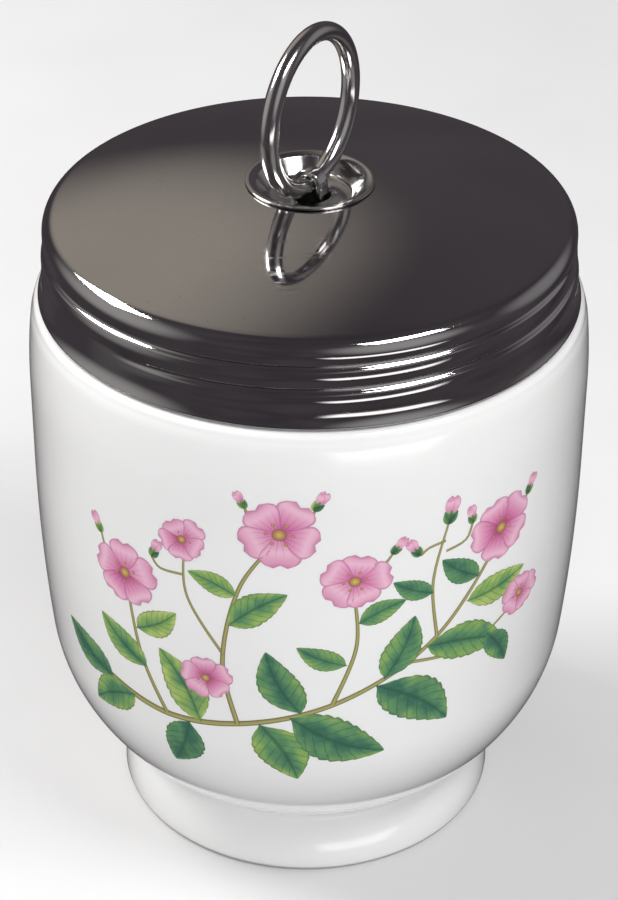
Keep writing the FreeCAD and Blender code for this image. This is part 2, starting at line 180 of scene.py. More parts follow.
def deselect():
    """Leave object mode with nothing selected."""
    if bpy.context.object and bpy.context.object.mode != "OBJECT":
        bpy.ops.object.mode_set(mode="OBJECT")
    bpy.ops.object.select_all(action="DESELECT")


def point_off(centre, distance, aim):
    """The point at a distance from centre towards aim, in radians."""
    return centre[0] + distance * math.cos(aim), centre[1] + distance * math.sin(aim)


class Pen:
    """Draws a profile as (radius, height) points, each stretch going on from the last."""

    def __init__(self, start, heading=OUT):
        self.points = [start]
        self.heading = heading

    def line(self, end, steps=1):
        """A straight stretch."""
        start = self.points[-1]
        self.heading = (end[0] - start[0], end[1] - start[1])
        for k in range(1, steps + 1):
            self.points.append(tuple(start[i] + self.heading[i] * k / steps for i in (0, 1)))
        return self

    def arc(self, end, steps, heading=None):
        """An arc to end that leaves along heading, or as the last stretch ended."""
        start_r, start_z = self.points[-1]
        along_r, along_z = heading or self.heading
        length = math.hypot(along_r, along_z)
        along_r, along_z = along_r / length, along_z / length
        chord_r, chord_z = end[0] - start_r, end[1] - start_z
        side = chord_z * along_r - chord_r * along_z
        if abs(side) < 1e-9:
            self.points.append(end)
            return self
        radius = (chord_r ** 2 + chord_z ** 2) / (2 * side)
        centre_r, centre_z = start_r - along_z * radius, start_z + along_r * radius
        first = math.atan2(start_z - centre_z, start_r - centre_r)
        last = math.atan2(end[1] - centre_z, end[0] - centre_r)
        sweep = (last - first) % TAU if radius > 0 else -((first - last) % TAU)
        for k in range(1, steps + 1):
            angle = first + sweep * k / steps
            self.points.append(point_off((centre_r, centre_z), abs(radius), angle))
        turn_r, turn_z = math.cos(sweep), math.sin(sweep)
        self.heading = (
            along_r * turn_r - along_z * turn_z, along_r * turn_z + along_z * turn_r)
        return self


def rounded(corners, closed=False, steps=6):
    """Polyline through corners given as (radius, height, rounding), each cut by an arc."""
    points = []
    count = len(corners)
    for k, (r, z, size) in enumerate(corners):
        is_end = not closed and k in (0, count - 1)
        if size <= 0 or is_end:
            points.append((r, z))
            continue
        corner = Vector((r, z))
        last_r, last_z, _size = corners[k - 1]
        next_r, next_z, _size = corners[(k + 1) % count]
        before = Vector((last_r - r, last_z - z)).normalized()
        after = Vector((next_r - r, next_z - z)).normalized()
        reach = size / math.tan(before.angle(after) / 2)
        cut = Pen(tuple(corner + before * reach))
        cut.arc(tuple(corner + after * reach), steps, tuple(-before))
        points += cut.points
    return points


def drawn_line(name, points, y=0.0):
    """A piece that is still one line, extruded point by point and left in edit mode."""
    deselect()
    here = points[0]
    bpy.ops.mesh.primitive_plane_add(size=MM, location=(here[0] * MM, y * MM, here[1] * MM))
    piece = bpy.context.object
    piece.name = name
    piece.data.name = name
    bpy.ops.object.transform_apply(location=True, rotation=True, scale=True)
    bpy.ops.object.mode_set(mode="EDIT")
    bpy.ops.mesh.select_mode(type="VERT")
    bpy.ops.mesh.select_all(action="SELECT")
    bpy.ops.mesh.merge(type="CENTER")
    for point in points[1:]:
        step = ((point[0] - here[0]) * MM, 0, (point[1] - here[1]) * MM)
        bpy.ops.mesh.extrude_region_move(TRANSFORM_OT_translate={"value": step})
        here = point
    bpy.ops.mesh.select_all(action="SELECT")
    return piece


def face_outwards():
    """Turn all faces of the mesh in edit mode outwards and leave edit mode."""
    bpy.ops.mesh.select_all(action="SELECT")
    bpy.ops.mesh.normals_make_consistent(inside=False)
    bpy.ops.object.mode_set(mode="OBJECT")


def turned(name, profile, steps, closed=False):
    """Draw a profile in the XZ plane and spin it about Z."""
    piece = drawn_line(name, profile + profile[:1] if closed else profile)
    bpy.ops.mesh.remove_doubles(threshold=1e-7)
    bpy.ops.mesh.spin(steps=steps, angle=TAU, center=(0, 0, 0), axis=(0, 0, 1))
    bpy.ops.mesh.select_all(action="SELECT")
    bpy.ops.mesh.remove_doubles(threshold=2e-7)
    face_outwards()
    bpy.ops.object.shade_smooth_by_angle(angle=SMOOTH_ANGLE)
    return piece


def ease(t):
    """From 0 to 1 with level ends."""
    return t * t * (3 - 2 * t)


def hump(offset, foot, flat):
    """Height of a thread's section: 1 within the flat's half width, 0 beyond the foot's."""
    away = abs(offset)
    if away <= flat:
        return 1.0
    if away >= foot:
        return 0.0
    return ease((foot - away) / (foot - flat))


def fade(turn, turns):
    """A thread runs in and out over a small part of a turn at its ends."""
    edge = min(turn, turns - turn) / FADE_TURNS
    return ease(max(0.0, min(1.0, edge)))


def thread_at(angle, height, turns, lift, section):
    """How far a thread stands out of the surface, in millimetres."""
    turn = ((angle - THREAD_START) % TAU) / TAU
    best = 0.0
    while turn <= turns:
        centre = THREAD_Z + lift + PITCH * turn
        part = hump(height - centre, section["foot"], section["flat"])
        best = max(best, part * fade(turn, turns))
        turn += 1
    return best * section["height"]


def move_radially(piece, band, change):
    """Move the vertices of a band, as (inner radius, low, high), out by change(angle, height)."""
    inner, low, high = band
    for vertex in piece.data.vertices:
        x, y, z = vertex.co / MM
        radius = math.hypot(x, y)
        if radius <= inner or not low < z < high:
            continue
        scale = (radius + change(math.atan2(y, x), z)) / radius
        vertex.co.x *= scale
        vertex.co.y *= scale
    piece.data.update()


def cup_outside():
    """Outer profile of the glazed cup from the foot's inner edge up to the neck's ledge."""
    foot = Pen(FOOT_INNER_EDGE[-1])
    foot.line(FOOT_TREAD, 3)
    foot.arc(FOOT_EDGE, 8, OUT)
    foot.arc(FOOT_TOP, 12, FOOT_FLARE)
    belly = Pen(WALL_FOOT)
    belly.arc(BELLY_HIGH, 26, DOWN)
    belly.arc(BELLY_LOW, 18)
    belly.arc(BELLY_FOOT, 14)
    shoulder = Pen(WALL_FOOT)
    shoulder.line(WALL_TOP, 12)
    shoulder.arc(SHOULDER_LOW, 10, UP)
    shoulder.arc(SHOULDER_HIGH, 4)
    shoulder.arc(LEDGE_EDGE, 8, LEDGE_LEAN)
    return FOOT_INNER_EDGE[:-1] + foot.points + CREASE + belly.points[::-1] + shoulder.points[1:]


def make_cup():
    """Hollow foot, belly, ledge, threaded neck, rounded rim, smooth inside."""
    outside = [(r - GLAZE_INSET, z) for r, z in cup_outside()]
    pen = Pen(outside[-1])
    pen.line((NECK_R + NECK_ROOT, LEDGE_Z), 2)
    pen.arc((NECK_R, LEDGE_Z + NECK_ROOT), 5, IN)
    pen.line((NECK_R, RIM_Z - RIM_ROUND), 62)
    pen.arc((NECK_R - RIM_ROUND, RIM_Z), 8, UP)
    pen.line((THROAT_R + RIM_ROUND, RIM_Z), 2)
    pen.arc((THROAT_R, RIM_Z - RIM_ROUND), 8, IN)
    pen.line((THROAT_R, THROAT_LOW), 6)
    pen.arc(THROAT_FOOT, 4, DOWN)
    pen.line(INSIDE_WIDE, 12)
    pen.arc(INSIDE_LOW, 24)
    pen.arc((FLOOR_EDGE_R, FLOOR_Z), 22)
    pen.line((0.0, FLOOR_Z), 6)
    cup = turned("porcelain_cup", UNDER_FOOT + outside + pen.points[1:], CUP_STEPS)

    def rib(angle, z):
        return thread_at(angle, z, NECK_TURNS, NECK_LIFT, NECK_RIB)

    move_radially(cup, NECK_BAND, rib)
    return cup


def lid_dome():
    """Top of the lid from the dish to the corner, a shallow cap of a sphere."""
    points = []
    for k in range(DOME_ROWS + 1):
        r = DISH_R + (DOME_EDGE_R - DISH_R) * k / DOME_ROWS
        points.append((r, DOME_TOP - DOME_SPHERE + math.sqrt(DOME_SPHERE ** 2 - r * r)))
    return points


def lid_skirt():
    """Outer side of the skirt below the band's top: it spreads gently, and more at the hem."""
    points = []
    for k in range(1, SKIRT_ROWS + 1):
        z = BAND_TOP + (SKIRT_LOW - BAND_TOP) * k / SKIRT_ROWS
        spread = max(0.0, (FLARE_TOP - z) / (FLARE_TOP - FLARE_FOOT))
        points.append((BAND_R + SKIRT_FLARE * spread, z))
    hem = Pen(points[-1])
    hem.arc(HEM_TOP, 10, HEM_LEAN)
    return points + hem.points[1:]


def make_lid():
    """Thin pressed shell: the same thread is rolled through both faces of the sheet."""
    dish = rounded(LID_DISH)[:-1]
    dome = lid_dome()
    corner = Pen((BAND_R, BAND_TOP)).arc(dome[-1], 14, UP).points
    skirt = lid_skirt()
    hem = Pen(skirt[-1]).arc(HEM_FOOT, 5, HEM_FOOT_LEAN).points[1:] + HEM_INNER
    inner = [(r - SHEET, z) for r, z in reversed(skirt) if z > HEM_INNER_TOP]
    # the inner corner has one ring fewer than the outer one, next to the band's top
    for r, z in corner[:1] + corner[2:]:
        lean = math.atan2(z - BAND_TOP, r - (BAND_R - CORNER_R))
        inner.append((r - SHEET * math.cos(lean), z - SHEET * math.sin(lean)))
    inner += [(r, z - SHEET) for r, z in reversed(dish + dome[:-1])]
    outline = dish + dome + corner[-2::-1] + skirt + hem + inner
    lid = turned("pressed_lid", outline, LID_STEPS, closed=True)

    def roll(angle, z):
        ridge = thread_at(angle, z, LID_TURNS, ROLL_DROP, LID_ROLL)
        groove = thread_at(angle, z, LID_TURNS, 0.0, LID_GROOVE)
        return ridge + groove

    move_radially(lid, LID_BAND, roll)
    return lid


def make_escutcheon():
    """Dished plate with a rolled bead at its rim and a hole for the eye."""
    outline = rounded(PLATE_SECTION, closed=True, steps=5)
    return turned("dished_plate", outline, PLATE_STEPS, closed=True)


def apply_modifier(piece, kind, **settings):
    """Give the active piece a modifier and apply it."""
    modifier = piece.modifiers.new(kind, kind)
    for key, value in settings.items():
        setattr(modifier, key, value)
    bpy.ops.object.modifier_apply(modifier=kind)


def make_eye():
    """Flat strip bent over the ring's wire, its feet clenched out under the lid."""
    ankle_z = EYE_FOOT_Z + EYE_ANKLE
    pen = Pen((EYE_TOE, EYE_FOOT_Z))
    pen.line((EYE_HEEL, EYE_FOOT_Z))
    pen.line((EYE_BEND + EYE_ANKLE, EYE_FOOT_Z))
    pen.arc((EYE_BEND, ankle_z), 8, IN)
    pen.line((EYE_BEND, SEAT_Z), 4)
    pen.arc((-EYE_BEND, SEAT_Z), 32, UP)
    pen.line((-EYE_BEND, ankle_z), 4)
    pen.arc((-EYE_BEND - EYE_ANKLE, EYE_FOOT_Z), 8, DOWN)
    pen.line((-EYE_HEEL, EYE_FOOT_Z))
    pen.line((-EYE_TOE, EYE_FOOT_Z))
    eye = drawn_line("bent_eye", pen.points, y=-EYE_WIDE / 2)
    for _half in range(2):
        bpy.ops.mesh.extrude_region_move(
            TRANSFORM_OT_translate={"value": (0, EYE_WIDE / 2 * MM, 0)})
    bpy.ops.mesh.select_all(action="SELECT")
    bpy.ops.mesh.remove_doubles(threshold=1e-7)
    face_outwards()
    apply_modifier(eye, "SOLIDIFY", thickness=EYE_THICK * MM, offset=0, use_even_offset=True)
    apply_modifier(eye, "BEVEL", width=EYE_EDGE * MM, segments=3, limit_method="ANGLE",
                   angle_limit=EYE_EDGE_ANGLE)
    bpy.ops.object.mode_set(mode="EDIT")
    face_outwards()
    eye.rotation_euler = (0, 0, RING_ANGLE - math.pi / 2)
    bpy.ops.object.transform_apply(location=True, rotation=True, scale=True)
    bpy.ops.object.shade_smooth_by_angle(angle=SMOOTH_ANGLE)
    return eye


def make_ring():
    """Round wire ring, standing upright through its eye."""
    deselect()
    bpy.ops.mesh.primitive_torus_add(
        major_radius=RING_R * MM, minor_radius=(RING_WIRE - WIRE_INSET) * MM,
        major_segments=144, minor_segments=36,
        location=(0, 0, (SEAT_Z + RING_R) * MM), rotation=(math.pi / 2, 0, RING_ANGLE))
    ring = bpy.context.object
    ring.name = "wire_ring"
    ring.data.name = "wire_ring"
    bpy.ops.object.transform_apply(location=True, rotation=True, scale=True)
    bpy.ops.object.shade_smooth()
    return ring


# The print: flat shapes laid out on the cup's unrolled front, u across and v up in millimetres,
# then wrapped onto the glaze. Built point by point, since a shape has to follow the cup's curve.
PRINT_PROFILE = sorted(
    {(round(z, 4), r - GLAZE_INSET) for r, z in cup_outside() if PRINT_LOW < z < PRINT_HIGH})


def cup_radius(height):
    """Radius of the glazed surface at a height."""
    for (z0, r0), (z1, r1) in zip(PRINT_PROFILE, PRINT_PROFILE[1:]):
        if z0 <= height <= z1:
            t = (height - z0) / (z1 - z0) if z1 > z0 else 0.0
            return r0 + (r1 - r0) * t
    return PRINT_PROFILE[-1][1]


def on_cup(u, v, layer):
    """Place of a print point on the cup, layer being its print order."""
    z = PRINT_LIFT + v * PRINT_TALL
    radius = cup_radius(z) + PRINT_CLEAR + PRINT_LAYER * layer
    angle = -math.pi / 2 + u * PRINT_WIDE / BODY_R
    return Vector((radius * math.cos(angle), radius * math.sin(angle), z)) * MM


def steps_across(count):
    """Even steps from -1 at one edge of a shape to 1 at the other."""
    return [j / count * 2 - 1 for j in range(count + 1)]


class Print:
    """Collects printed shapes as one mesh with a face material and two UV maps."""

    def __init__(self):
        self.mesh = bmesh.new()
        self.place = self.mesh.loops.layers.uv.new("print_uv")
        self.shade = self.mesh.loops.layers.uv.new("print_shade")

    def grid(self, rows, ink, layer, tone):
        """Add a strip of rows of (u, v, s, t) points, with a tone picked per shape."""
        verts = [[self.mesh.verts.new(on_cup(p[0], p[1], layer)) for p in row] for row in rows]
        for i in range(len(rows) - 1):
            for j in range(len(rows[i]) - 1):
                corners = [(i, j), (i, j + 1), (i + 1, j + 1), (i + 1, j)]
                face = self.mesh.faces.new([verts[a][b] for a, b in corners])
                face.material_index = ink
                face.smooth = True
                for loop, (a, b) in zip(face.loops, corners):
                    loop[self.place].uv = rows[a][b][2:4]
                    loop[self.shade].uv = (tone, 0.0)

    def finish(self, name):
        """Turn every face outwards and make the mesh a piece."""
        bmesh.ops.remove_doubles(self.mesh, verts=self.mesh.verts, dist=2e-8)
        self.mesh.normal_update()
        for face in self.mesh.faces:
            middle = face.calc_center_median()
            if face.normal.dot(Vector((middle.x, middle.y, 0))) < 0:
                face.normal_flip()
        data = bpy.data.meshes.new(name)
        self.mesh.to_mesh(data)
        self.mesh.free()
        printed = bpy.data.objects.new(name, data)
        bpy.context.scene.collection.objects.link(printed)
        return printed


def curve_points(points, count):
    """Smooth curve through points, evenly stepped."""
    padded = [points[0]] + list(points) + [points[-1]]
    result = []
    spans = len(points) - 1
    for k in range(count + 1):
        place = min(k / count * spans, spans - 1e-9)
        i = int(place)
        t = place - i
        p0, p1, p2, p3 = (Vector(p) for p in padded[i:i + 4])
        result.append(0.5 * ((2 * p1) + (p2 - p0) * t + (2 * p0 - 5 * p1 + 4 * p2 - p3) * t * t
                             + (3 * p1 - p0 - 3 * p2 + p3) * t ** 3))
    return result


def draw_stem(art, points, wide, narrow, layer, tone):
    """A stem tapers from wide to narrow along its curve."""
    length = sum((Vector(b) - Vector(a)).length for a, b in zip(points, points[1:]))
    count = max(8, int(length / 0.6))
    line = curve_points(points, count)
    rows = []
    for k, middle in enumerate(line):
        along = line[min(count, k + 1)] - line[max(0, k - 1)]
        across = along.orthogonal().normalized()
        half = (wide + (narrow - wide) * k / count) / 2
        row = []
        for s in steps_across(4):
            q = middle + across * (half * s)
            row.append((q.x, q.y, k / count, s * 0.5 + 0.5))
        rows.append(row)
    art.grid(rows, INK_STEM, layer, tone)


def axes(aim):
    """Directions along and across a shape that points along aim, in radians."""
    along = Vector((math.cos(aim), math.sin(aim)))
    return along, Vector((-along.y, along.x))


def leaf_half_width(t, width, lobes):
    """Half a leaf's width at t along it: a pointed oval with small teeth."""
    body = math.sin(math.pi * min(1.0, t ** 0.78)) ** 0.85 if 0 < t < 1 else 0.0
    notch = (t * lobes) % 1.0
    tooth = 1.0 - 0.10 * notch ** 2 if 0.08 < t < 0.96 else 1.0
    return width / 2 * body * tooth + 0.04


def draw_leaf(art, base, aim, length, width, bow, layer, tone, lobes=9):
    """A pointed oval leaf with a softly toothed edge, its midrib bowed to one side."""
    base = Vector(base)
    along, side = axes(math.radians(aim))
    count = max(26, int(length / 0.28))
    rows = []
    for k in range(count + 1):
        t = k / count
        spine = base + along * (length * t) + side * (bow * math.sin(math.pi * t * 0.9))
        half = leaf_half_width(t, width, lobes)
        row = []
        for s in steps_across(12):
            sweep = 0.10 * width * abs(s) * (1 - t)
            q = spine + side * (half * s) + along * sweep
            row.append((q.x, q.y, t, s * 0.5 + 0.5))
        rows.append(row)
    art.grid(rows, INK_LEAF, layer, tone)


def petal_half_width(t, width):
    """Half a petal's width at t along it: narrow at its foot, round at its end."""
    half = width / 2 * (0.16 + 0.84 * math.sin(math.pi / 2 * min(1, t * 1.25)) ** 1.4)
    if t > 0.66:
        half *= math.sqrt(max(0.0, 1 - ((t - 0.66) / 0.36) ** 2))
    return half


def draw_petal(art, centre, aim, length, width, layer, tone):
    """One petal: narrow at the flower's eye, broad and faintly notched at its end."""
    centre = Vector(centre)
    along, side = axes(aim)
    rows = []
    count = 12
    for k in range(count + 1):
        t = k / count
        half = petal_half_width(t, width)
        row = []
        for s in steps_across(8):
            dip = 0.09 * length * (1 - abs(s)) * max(0.0, t - 0.6) / 0.4
            q = centre + along * (length * t - dip) + side * (half * s)
            row.append((q.x, q.y, t, s * 0.5 + 0.5))
        rows.append(row)
    art.grid(rows, INK_PETAL, layer, tone)


def draw_disc(art, centre, radius, ink, layer, tone):
    """A small round spot."""
    centre = Vector(centre)
    rows = []
    for k in range(3):
        reach = radius * max(0.02, k / 2)
        row = []
        for j in range(17):
            u, v = point_off(centre, reach, TAU * j / 16)
            row.append((u, v, k / 2, j / 16))
        rows.append(row)
    art.grid(rows, ink, layer, tone)


def draw_blossom(art, centre, radius, turn, squeeze, layer, rng):
    """Open five-petalled flower, seen a little from the side."""
    for k in range(5):
        aim = turn + TAU * k / 5 + rng.uniform(-0.08, 0.08)
        reach = radius * (1 - squeeze * abs(math.sin(aim - turn)))
        draw_petal(art, centre, aim, reach, radius * 0.98, layer + k * 0.25, rng.random())
    draw_disc(art, centre, radius * 0.17, INK_EYE, layer + 2, rng.random())
    for k in range(6):
        spot = point_off(centre, radius * 0.3, turn + TAU * k / 6)
        draw_disc(art, spot, radius * 0.045, INK_EYE, layer + 2.3, rng.random())


def draw_bud(art, base, aim, length, layer, rng):
    """Closed bud in its green cup."""
    draw_petal(art, base, aim, length, length * 0.55, layer, rng.random())
    draw_petal(art, base, aim + 0.16, length * 0.9, length * 0.34, layer + 0.5, rng.random())
    green = point_off(base, -0.3, aim)
    for lean in (-24, 0, 24):
        draw_leaf(art, green, math.degrees(aim) + lean, length * 0.55, length * 0.26, 0,
                  layer + 1, rng.random(), lobes=1)


def draw_stems(art, rng):
    """The main stem and its branches, each as its points and its width."""
    main = [(-27, 27.5), (-17, 25.4), (-6, 27.2), (5, 31.5), (15, 38.5), (22.5, 48.5)]
    draw_stem(art, main, 1.05, 0.45, 1, 0.3)
    branches = [
        ([(-17, 25.4), (-20, 33), (-21.5, 42.5)], 0.62),
        ([(-8, 26.6), (-9.5, 36), (-7.5, 47), (-3.5, 54)], 0.66),
        ([(3, 30.6), (5.5, 39), (5.2, 46.5)], 0.58),
        ([(11.5, 35.6), (19.5, 35.2), (26.2, 38.4)], 0.52),
        ([(-9.3, 37), (-13.5, 44.5), (-13.8, 51)], 0.42),
        ([(15, 38.5), (14.2, 46.5), (15.8, 54.2)], 0.46),
    ]
    for points, wide in branches:
        draw_stem(art, points, wide, wide * 0.6, 1.4, rng.random())


def draw_leaves(art, rng):
    """Leaves as (u, v, aim in degrees, length, width, bow)."""
    leaves = [
        (-25, 27, 152, 9.5, 5.0, 0.8), (-21.5, 26.1, 214, 9.0, 5.2, -0.7),
        (-14, 25.4, 250, 8.4, 5.4, 0.5), (-5.5, 27.2, 295, 10.2, 6.4, 0.8),
        (-2.0, 28.6, 332, 13.0, 7.0, -1.0), (7.8, 33.0, 318, 12.4, 6.6, 1.0),
        (13.6, 37.4, 342, 11.6, 5.4, 0.8), (-12.5, 25.6, 118, 11.0, 5.6, -0.9),
        (-0.5, 29.0, 112, 10.2, 5.0, 0.8), (8.8, 33.6, 70, 9.4, 4.6, -0.6),
        (-19.2, 31.5, 142, 8.6, 4.4, 0.6), (-20.6, 37.0, 40, 7.2, 3.8, -0.5),
        (-8.8, 41.5, 38, 8.6, 4.2, 0.5), (4.6, 36.4, 152, 6.4, 3.2, 0.4),
        (18.6, 42.2, 8, 9.0, 4.4, -0.5), (20.4, 45.2, 140, 6.6, 3.4, 0.4),
        (-7.6, 46.0, 160, 6.2, 3.0, -0.3), (5.6, 42.5, 24, 6.0, 3.0, 0.3),
        (14.4, 45.0, 150, 5.6, 2.8, 0.3), (22.0, 36.0, 300, 7.0, 3.6, 0.4),
    ]
    for k, (u, v, aim, length, width, bow) in enumerate(leaves):
        draw_leaf(art, (u, v), aim, length, width, bow, 2 + (k % 5) * 0.5, rng.random())


def draw_flowers(art, rng):
    """Flowers as (u, v, radius, turn, squeeze), then buds as (u, v, aim in degrees, length)."""
    flowers = [
        (-21.8, 44.6, 4.6, 0.4, 0.05), (-3.0, 55.2, 4.9, 1.0, 0.1), (5.2, 48.6, 4.3, 0.1, 0.15),
        (23.2, 50.8, 4.7, 0.7, 0.1), (-14.0, 52.4, 3.3, 0.9, 0.2), (27.0, 39.4, 3.4, 0.2, 0.2),
        (-11.6, 33.0, 3.4, 0.5, 0.1),
    ]
    for k, (u, v, radius, turn, squeeze) in enumerate(flowers):
        draw_blossom(art, (u, v), radius, turn, squeeze, 8 + (k % 2) * 3, rng)
    buds = [
        (15.9, 54.4, 80, 3.6), (-17.8, 48.8, 70, 2.6), (0.8, 58.8, 60, 2.6), (9.4, 52.0, 50, 2.4),
        (27.4, 53.6, 62, 2.6), (-25.4, 48.8, 118, 2.6), (12.4, 51.0, 120, 2.6),
        (-6.8, 58.6, 118, 2.2), (19.0, 53.4, 96, 2.4),
    ]
    for u, v, aim, length in buds:
        draw_bud(art, (u, v), math.radians(aim), length, 6, rng)


def draw_twigs(art, rng):
    """The thin stalks of the buds."""
    twigs = [
        [(15.6, 52.0), (13.6, 51.6), (12.6, 50.8)], [(-14.0, 47.5), (-16.8, 47.4), (-17.9, 48.6)],
        [(-1.5, 56), (0.2, 57.4), (0.8, 58.6)], [(6.4, 49.5), (8.4, 50.6), (9.3, 51.8)],
        [(24, 51), (26.6, 52.2), (27.3, 53.4)], [(-22, 45), (-24.6, 46.8), (-25.3, 48.6)],
        [(-4, 55), (-6.2, 57), (-6.7, 58.4)], [(15.7, 50.5), (18.2, 51.2), (19.0, 53.2)],
    ]
    for points in twigs:
        draw_stem(art, points, 0.36, 0.3, 1.2, rng.random())


def make_print():
    """A loose arching spray of open pink flowers, buds and oval leaves."""
    rng = random.Random(7)
    art = Print()
    draw_stems(art, rng)
    draw_leaves(art, rng)
    draw_flowers(art, rng)
    draw_twigs(art, rng)
    return art.finish("printed_spray")


class Recipe:
    """A node tree, with short ways to add its nodes and join them."""

    def __init__(self, tree):
        self.nodes = tree.nodes
        self.links = tree.links

    def feed(self, socket, value):
        """Join an output to a socket, or set the socket to a plain value."""
        if isinstance(value, bpy.types.NodeSocket):
            self.links.new(value, socket)
        else:
            socket.default_value = value

    def add(self, kind, inputs=(), **settings):
        """Add a node, with its settings made before its inputs are fed."""
        node = self.nodes.new(kind)
        for key, value in settings.items():
            setattr(node, key, value)
        for key, value in dict(inputs).items():
            self.feed(node.inputs[key], value)
        return node

    def shade(self, inputs):
        """Feed the material's own shader."""
        for key, value in inputs.items():
            self.feed(self.nodes["Principled BSDF"].inputs[key], value)

    def place(self):
        """The place on the piece."""
        return self.add("ShaderNodeTexCoord").outputs["Object"]

    def split(self, vector):
        """The outputs X, Y and Z of a vector."""
        return self.add("ShaderNodeSeparateXYZ", {0: vector}).outputs

    def math(self, operation, first, second=None, clamp=False):
        """Arithmetic on one or two numbers."""
        inputs = {0: first}
        if second is not None:
            inputs[1] = second
        node = self.add("ShaderNodeMath", inputs, operation=operation, use_clamp=clamp)
        return node.outputs[0]

    def vector_math(self, operation, *vectors):
        """A node that works on vectors."""
        return self.add("ShaderNodeVectorMath", enumerate(vectors), operation=operation)

    def noise(self, place, scale, detail=2.0, roughness=0.5):
        """Cloudy strength from 0 to 1."""
        inputs = {"Vector": place, "Scale": scale, "Detail": detail, "Roughness": roughness}
        return self.add("ShaderNodeTexNoise", inputs).outputs["Fac"]

    def between(self, value, low, high, start=0.0, end=1.0, smooth=False):
        """Map the stretch from low to high onto the one from start to end."""
        inputs = {
            "Value": value, "From Min": low, "From Max": high, "To Min": start, "To Max": end}
        kind = "SMOOTHSTEP" if smooth else "LINEAR"
        return self.add("ShaderNodeMapRange", inputs, interpolation_type=kind).outputs["Result"]

    def ramp(self, source, *stops):
        """Colours or plain strengths between stops given as (place, colour)."""
        node = self.add("ShaderNodeValToRGB", {"Fac": source})
        while len(node.color_ramp.elements) < len(stops):
            node.color_ramp.elements.new(0.5)
        for element, (place, colour) in zip(node.color_ramp.elements, stops):
            element.position = place
            element.color = opaque(colour if isinstance(colour, tuple) else (colour,) * 3)
        return node.outputs["Color"]

    def mix(self, factor, first, second):
        """From the first colour at 0 to the second at 1."""
        inputs = {"Factor": factor, "A": opaque(first), "B": opaque(second)}
        return self.add("ShaderNodeMix", inputs, data_type="RGBA").outputs["Result"]

    def bump(self, height, strength, distance):
        """A normal that follows a height."""
        inputs = {"Height": height, "Strength": strength, "Distance": distance}
        return self.add("ShaderNodeBump", inputs).outputs["Normal"]

    def blend(self, factor, first, second):
        """From the first shader at 0 to the second at 1."""
        inputs = {0: factor, 1: first.outputs[0], 2: second.outputs[0]}
        return self.add("ShaderNodeMixShader", inputs).outputs[0]


def opaque(colour):
    """A colour's numbers with full cover, or the output that gives the colour, as it is."""
    return (*colour, 1.0) if isinstance(colour, tuple) else colour


def new_material(name):
    """A new material and the recipe that fills it."""
    material = bpy.data.materials.new(name)
    material.use_nodes = True
    return material, Recipe(material.node_tree)


def porcelain_material():
    """White hard porcelain under a clear glaze, bare and matt on the foot's resting ring."""
    material, recipe = new_material("glazed_porcelain")
    place = recipe.place()
    cloud = recipe.noise(place, 38.0, detail=3.0)
    white = recipe.ramp(cloud, (0.3, (0.825, 0.825, 0.815)), (0.7, (0.850, 0.850, 0.842)))
    bare = recipe.between(recipe.split(place)["Z"], 0.45 * MM, 0.15 * MM)
    ripple = recipe.noise(place, 90.0, detail=1.0)
    recipe.shade({
        "Base Color": recipe.mix(bare, white, (0.70, 0.66, 0.60)),
        "Roughness": recipe.between(bare, 0.0, 1.0, start=0.16, end=0.75),
        "Coat Weight": recipe.math("SUBTRACT", 1.0, bare, clamp=True),
        "Coat Roughness": 0.035,
        "Coat Normal": recipe.bump(ripple, 0.25, 0.06 * MM),
        "Subsurface Weight": 0.08,
        "Subsurface Radius": (2.2 * MM, 1.8 * MM, 1.4 * MM),
        "Subsurface Scale": 1.0,
    })
    return material


def ink_material(name, paint):
    """Printed colour, nearly as glossy as the glaze round it."""
    material, recipe = new_material(name)
    along_across = recipe.add("ShaderNodeUVMap", uv_map="print_uv").outputs["UV"]
    tone = recipe.add("ShaderNodeUVMap", uv_map="print_shade").outputs["UV"]
    place = recipe.split(along_across)
    recipe.shade({
        "Base Color": paint(recipe, place["X"], place["Y"], recipe.split(tone)["X"]),
        "Roughness": 0.22,
        "Coat Weight": 0.6,
        "Coat Roughness": 0.05,
    })
    return material


def from_middle(recipe, across):
    """0 on a shape's middle line, 1 at both its edges."""
    doubled = recipe.math("MULTIPLY", across, 2.0)
    return recipe.math("ABSOLUTE", recipe.math("SUBTRACT", doubled, 1.0))


def about_half(recipe, value, strength):
    """A value's distance from one half, made stronger or weaker."""
    return recipe.math("MULTIPLY", recipe.math("SUBTRACT", value, 0.5), strength)


def leaf_dark(recipe, along, side):
    """Strength of a leaf's veins, midrib and outline."""
    slant = recipe.math(
        "SUBTRACT", recipe.math("MULTIPLY", along, 8.0), recipe.math("MULTIPLY", side, 1.5))
    vein = recipe.ramp(
        recipe.math("FRACT", slant),
        (0.0, 1.0), (0.07, 0.35), (0.14, 0.0), (0.90, 0.0), (1.0, 0.8))
    midrib = recipe.ramp(side, (0.0, 1.0), (0.07, 0.6), (0.12, 0.0))
    edge = recipe.ramp(side, (0.86, 0.0), (0.97, 0.9))
    lines = recipe.math("MAXIMUM", recipe.math("MAXIMUM", vein, midrib), edge)
    return recipe.math("MULTIPLY", lines, 0.62)


